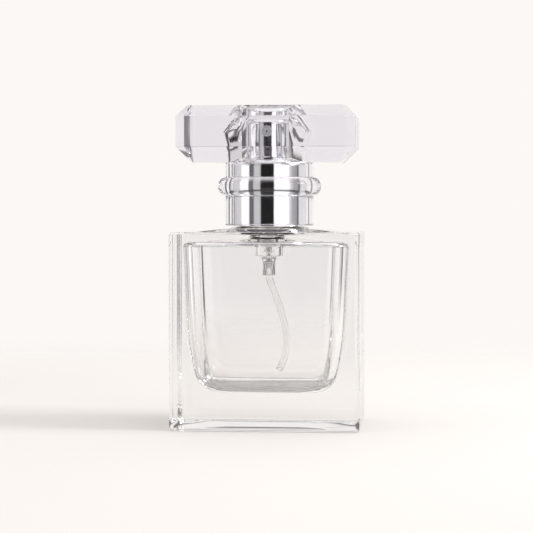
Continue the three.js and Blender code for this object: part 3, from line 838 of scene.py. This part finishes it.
def clear_glass():
    """Fire-polished glass: nearly colourless, with slow mould waves and a breath of unevenness."""
    material, tree = new_material("fire_polished_glass")
    principled = shader(tree, IOR=1.5, Roughness=0.0, Transmission_Weight=1.0)
    drift(tree, principled, noise(tree, 30, 1), (0.966, 0.966, 0.968), (0.982, 0.981, 0.983))
    bump(tree, principled, noise(tree, 90, 1, (1, 1, 0.6)), 0.25, 0.00012)
    tinted_depth(tree, (0.5, 0.51, 0.5), 4.5)
    return material


def clear_plastic():
    """Moulded clear plastic: a touch of lavender, and faint flow marks drawn out along the bar."""
    material, tree = new_material("clear_moulding")
    principled = shader(tree, IOR=1.49, Roughness=0.0, Transmission_Weight=1.0)
    drift(tree, principled, noise(tree, 60, 1), (0.945, 0.943, 0.974), (0.965, 0.963, 0.988))
    bump(tree, principled, noise(tree, 120, 1, (0.3, 1, 1)), 0.2, 0.00008)
    tinted_depth(tree, (0.5, 0.46, 0.56), 9.0)
    return material


def bright_metal():
    """Mirror-bright anodised skin: drawn lines too fine to see singly, slightly uneven polish."""
    material, tree = new_material("mirror_bright_aluminium")
    principled = shader(tree, Metallic=1.0)
    drift(tree, principled, noise(tree, 300, 3), (0.86, 0.865, 0.875), (0.9, 0.905, 0.91))
    polish(tree, principled, noise(tree, 900, 4, (1, 1, 0.15)), 0.035, 0.07)
    bump(tree, principled, noise(tree, 2500, 3, (1, 1, 0.05)), 0.04, 0.00001)
    return material


def satin_aluminium():
    """Crimped ferrule: satin metal with fine turning lines."""
    material, tree = new_material("satin_ferrule")
    principled = shader(tree, Metallic=1.0)
    lines = noise(tree, 500, 4, (0.2, 0.2, 3))
    drift(tree, principled, lines, (0.68, 0.69, 0.69), (0.8, 0.8, 0.8))
    polish(tree, principled, noise(tree, 1200, 4), 0.22, 0.36)
    bump(tree, principled, noise(tree, 3000, 3, (0.1, 0.1, 3)), 0.1, 0.00002)
    return material


def drawn_steel():
    """Spring wire and ball: drawn steel with fine streaks."""
    material, tree = new_material("drawn_steel")
    principled = shader(tree, Metallic=1.0)
    drift(tree, principled, noise(tree, 1500, 4), (0.5, 0.51, 0.53), (0.68, 0.69, 0.7))
    polish(tree, principled, noise(tree, 2500, 4), 0.16, 0.32)
    return material


def moulded(name, low, high, roughness, see_through=0.0, grain=900, bend=1.5):
    """Moulded plastic or rubber: slight colour drift, uneven gloss and a fine skin grain."""
    material, tree = new_material(name)
    principled = shader(tree, IOR=bend, Transmission_Weight=see_through)
    drift(tree, principled, noise(tree, grain * 0.3, 3), low, high)
    if see_through:
        principled.inputs["Roughness"].default_value = roughness
    else:
        polish(tree, principled, noise(tree, grain, 4), roughness * 0.85, roughness * 1.15)
    bump(tree, principled, noise(tree, grain * 2, 3), 0.12, 0.00002)
    return material


def finish_with(piece, material):
    """Give every slot of a piece one material."""
    piece.data.materials.clear()
    piece.data.materials.append(material)


GLASS = clear_glass()
PLASTIC = clear_plastic()
BRIGHT = bright_metal()
SATIN = satin_aluminium()
STEEL = drawn_steel()
NATURAL = moulded(
    "natural_pump_plastic",
    (0.97, 0.97, 0.965),
    (0.99, 0.99, 0.985),
    0.04,
    see_through=1.0,
    bend=1.35,
)
TUBING = moulded(
    "tube_plastic",
    (0.95, 0.95, 0.945),
    (0.98, 0.98, 0.975),
    0.06,
    see_through=1.0,
    bend=1.3,
)
WHITE = moulded("white_moulding", (0.78, 0.78, 0.77), (0.84, 0.84, 0.83), 0.35)
NOZZLE_GREY = moulded("nozzle_moulding", (0.78, 0.78, 0.79), (0.86, 0.86, 0.87), 0.25)
RUBBER = moulded("grey_rubber", (0.22, 0.22, 0.22), (0.28, 0.28, 0.28), 0.65, grain=1400)

for make, material in (
    (make_bottle, GLASS),
    (make_overcap, PLASTIC),
    (make_collar, BRIGHT),
    (make_button, BRIGHT),
    (make_nozzle, NOZZLE_GREY),
    (make_housing, NATURAL),
    (make_dip_tube, TUBING),
    (make_spring, STEEL),
):
    finish_with(make(), material)

CARRIED = {
    "neck_gasket": RUBBER,
    "stem_seal": RUBBER,
    "crimp_ferrule": SATIN,
    "collar_liner": WHITE,
    "pump_turret": NATURAL,
    "spring_seat": NATURAL,
    "check_ball": STEEL,
    "pump_piston": WHITE,
    "valve_rod": WHITE,
    "spray_stem": WHITE,
    "spray_button": WHITE,
}
for node, material in CARRIED.items():
    finish_with(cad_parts[node], material)

# ---- floor ----
FLOOR_R = 0.42
FLOOR_DROP = 0.00005
FLOOR_FADE = (0.07, 0.3)
BACKDROP = (0.974, 0.939, 0.913)
BOARD_SHARE = 0.6
BOARD_GLOW = 0.26


def make_floor():
    """A pale disc under the base that fades out towards its rim, so it has no visible edge."""
    radii = np.linspace(0.01, FLOOR_R, 24)
    angle = np.linspace(0, 2 * math.pi, 96, endpoint=False)
    grid = np.stack(
        [
            radii[:, None] * np.cos(angle),
            radii[:, None] * np.sin(angle),
            np.full((len(radii), len(angle)), -FLOOR_DROP),
        ],
        axis=-1,
    )
    floor = wrap("pale_floor", grid / MM, "bottle", start_pole=True)
    return floor


def floor_material():
    """Matt pale board with a little glow of its own, fading to clear towards the rim."""
    material, tree = new_material("pale_board")
    links = tree.links
    output = tree.nodes.new("ShaderNodeOutputMaterial")
    coordinates = tree.nodes.new("ShaderNodeTexCoord")
    length = tree.nodes.new("ShaderNodeVectorMath")
    length.operation = "LENGTH"
    links.new(coordinates.outputs["Object"], length.inputs[0])
    fade = tree.nodes.new("ShaderNodeMapRange")
    fade.interpolation_type = "SMOOTHSTEP"
    fade.inputs["From Min"].default_value = FLOOR_FADE[0]
    fade.inputs["From Max"].default_value = FLOOR_FADE[1]
    links.new(length.outputs["Value"], fade.inputs["Value"])
    board = tree.nodes.new("ShaderNodeBsdfDiffuse")
    board.inputs["Color"].default_value = (*[BOARD_SHARE * tone for tone in BACKDROP], 1)
    glow = tree.nodes.new("ShaderNodeEmission")
    glow.inputs["Color"].default_value = (*BACKDROP, 1)
    glow.inputs["Strength"].default_value = BOARD_GLOW
    even = tree.nodes.new("ShaderNodeAddShader")
    links.new(board.outputs["BSDF"], even.inputs[0])
    links.new(glow.outputs["Emission"], even.inputs[1])
    clear = tree.nodes.new("ShaderNodeBsdfTransparent")
    mix = tree.nodes.new("ShaderNodeMixShader")
    links.new(fade.outputs["Result"], mix.inputs["Fac"])
    links.new(even.outputs["Shader"], mix.inputs[1])
    links.new(clear.outputs["BSDF"], mix.inputs[2])
    links.new(mix.outputs["Shader"], output.inputs["Surface"])
    return material


finish_with(make_floor(), floor_material())

# ---- camera ----
CAMERA_AZIMUTH = math.radians(5.5)
CAMERA_DISTANCE = 0.4304
CAMERA_HEIGHT = 0.0548
CAMERA_PITCH = math.radians(2.2)
CAMERA_ASIDE = 0.0007
CAMERA_LENS = 120.2


def make_camera():
    """Level with the shoulder, a little to the object's right, looking slightly down."""
    data = bpy.data.cameras.new("view")
    data.lens = CAMERA_LENS
    data.sensor_width = 36.0
    data.clip_start = 0.01
    camera = bpy.data.objects.new("view", data)
    bpy.context.collection.objects.link(camera)
    outward = Vector((math.sin(CAMERA_AZIMUTH), -math.cos(CAMERA_AZIMUTH), 0))
    right = Vector((math.cos(CAMERA_AZIMUTH), math.sin(CAMERA_AZIMUTH), 0))
    above = Vector((0, 0, CAMERA_HEIGHT))
    camera.location = outward * CAMERA_DISTANCE - right * CAMERA_ASIDE + above
    forward = -outward * math.cos(CAMERA_PITCH) - Vector((0, 0, math.sin(CAMERA_PITCH)))
    camera.rotation_euler = forward.to_track_quat("-Z", "Y").to_euler()
    bpy.context.scene.camera = camera


make_camera()

# ---- studio ----
# Soft boxes and dark gaps round the horizon: degrees from the front (-Y) towards +X, brightness.
STUDIO_BANDS = (
    (-180, 1.0),
    (-148, 1.0),
    (-146, 0.15),
    (-138, 0.15),
    (-136, 1.0),
    (-126, 1.0),
    (-124, 0.1),
    (-119.5, 0.1),
    (-117, 0.75),
    (-88, 0.75),
    (-83, 1.4),
    (-59, 1.4),
    (-55, 0.14),
    (-44, 0.14),
    (-40, 0.7),
    (-23, 0.7),
    (-19, 0.02),
    (17, 0.02),
    (21.5, 1.5),
    (62, 1.5),
    (68, 0.9),
    (78, 0.5),
    (94, 0.4),
    (97.5, 0.1),
    (101, 0.1),
    (103.5, 0.95),
    (141, 0.95),
    (143.5, 0.25),
    (148, 0.25),
    (151, 1.0),
    (180, 1.0),
)
TOP_LIGHT = 1.15
# The soft top takes over from the bands between these heights of a direction (1 is straight up).
TOP_BLEND = (0.45, 0.75)
STUDIO_TONE = (1.0, 0.972, 0.952)
# Two dark gaps between the lights: height of a direction, share of the light kept there.
STUDIO_GAPS = (
    (0.0, 1.0),
    (0.13, 1.0),
    (0.16, 0.2),
    (0.22, 0.2),
    (0.25, 1.0),
    (0.56, 1.0),
    (0.6, 0.3),
    (0.66, 0.3),
    (0.7, 1.0),
    (1.0, 1.0),
)


def ramp_of(tree, stops):
    """Colour ramp in greys from pairs of position and brightness."""
    node = tree.nodes.new("ShaderNodeValToRGB")
    elements = node.color_ramp.elements
    elements.remove(elements[-1])
    for index, (position, value) in enumerate(stops):
        stop = elements[0] if index == 0 else elements.new(position)
        stop.position = position
        stop.color = (value, value, value, 1)
    return node


def make_studio():
    """World light by direction: bands round the horizon, a soft top, and a plain seen backdrop."""
    world = bpy.data.worlds.new("studio")
    bpy.context.scene.world = world
    world.use_nodes = True
    tree = world.node_tree
    tree.nodes.clear()
    links = tree.links
    output = tree.nodes.new("ShaderNodeOutputWorld")
    coordinates = tree.nodes.new("ShaderNodeTexCoord")
    split = tree.nodes.new("ShaderNodeSeparateXYZ")
    links.new(coordinates.outputs["Generated"], split.inputs["Vector"])

    def maths(operation, first, second=None, third=None):
        node = tree.nodes.new("ShaderNodeMath")
        node.operation = operation
        for socket, value in zip(node.inputs, (first, second, third)):
            if value is None:
                continue
            if isinstance(value, (int, float)):
                socket.default_value = value
            else:
                links.new(value, socket)
        return node.outputs["Value"]

    minus_y = maths("MULTIPLY", split.outputs["Y"], -1.0)
    turn = maths("ARCTAN2", split.outputs["X"], minus_y)
    share = maths("MULTIPLY_ADD", turn, 1 / (2 * math.pi), 0.5)
    bands = ramp_of(tree, [((angle + 180) / 360, value / 2) for angle, value in STUDIO_BANDS])
    links.new(share, bands.inputs["Fac"])
    around = maths("MULTIPLY", bands.outputs["Color"], 2.0)
    gaps = ramp_of(tree, STUDIO_GAPS)
    links.new(split.outputs["Z"], gaps.inputs["Fac"])
    belt = maths("MULTIPLY", around, gaps.outputs["Color"])

    lift = tree.nodes.new("ShaderNodeMapRange")
    lift.interpolation_type = "SMOOTHSTEP"
    lift.inputs["From Min"].default_value = TOP_BLEND[0]
    lift.inputs["From Max"].default_value = TOP_BLEND[1]
    links.new(split.outputs["Z"], lift.inputs["Value"])
    upper = tree.nodes.new("ShaderNodeMix")
    upper.data_type = "FLOAT"
    links.new(lift.outputs["Result"], upper.inputs["Factor"])
    links.new(belt, upper.inputs["A"])
    links.new(maths("MULTIPLY", gaps.outputs["Color"], TOP_LIGHT), upper.inputs["B"])

    tone = tree.nodes.new("ShaderNodeVectorMath")
    tone.operation = "SCALE"
    tone.inputs[0].default_value = STUDIO_TONE
    links.new(upper.outputs["Result"], tone.inputs["Scale"])
    lit = tree.nodes.new("ShaderNodeBackground")
    links.new(tone.outputs["Vector"], lit.inputs["Color"])
    plain = tree.nodes.new("ShaderNodeBackground")
    plain.inputs["Color"].default_value = (*BACKDROP, 1)
    path = tree.nodes.new("ShaderNodeLightPath")
    mix = tree.nodes.new("ShaderNodeMixShader")
    links.new(path.outputs["Is Camera Ray"], mix.inputs["Fac"])
    links.new(lit.outputs["Background"], mix.inputs[1])
    links.new(plain.outputs["Background"], mix.inputs[2])
    links.new(mix.outputs["Shader"], output.inputs["Surface"])


make_studio()

KEY_POWER = 2.7
KEY_SIZE = 0.2
KEY_PLACE = Vector((0.5, -0.03, 0.42))
KEY_AIM = Vector((0, 0, 0.02))


def make_key():
    """Large soft lamp up on the right, for the faint shadow that falls to the left."""
    data = bpy.data.lights.new("key", "AREA")
    data.energy = KEY_POWER
    data.size = KEY_SIZE
    lamp = bpy.data.objects.new("key", data)
    bpy.context.collection.objects.link(lamp)
    lamp.location = KEY_PLACE
    lamp.rotation_euler = (KEY_AIM - KEY_PLACE).to_track_quat("-Z", "Y").to_euler()


make_key()

# Light crosses many walls of glass and plastic before it leaves, so it is followed further.
CLEAR_BOUNCES = 24
MIRROR_BOUNCES = 12

scene = bpy.context.scene
scene.view_settings.view_transform = "Standard"
scene.cycles.max_bounces = CLEAR_BOUNCES
scene.cycles.transmission_bounces = CLEAR_BOUNCES
scene.cycles.glossy_bounces = MIRROR_BOUNCES
scene.cycles.transparent_max_bounces = MIRROR_BOUNCES
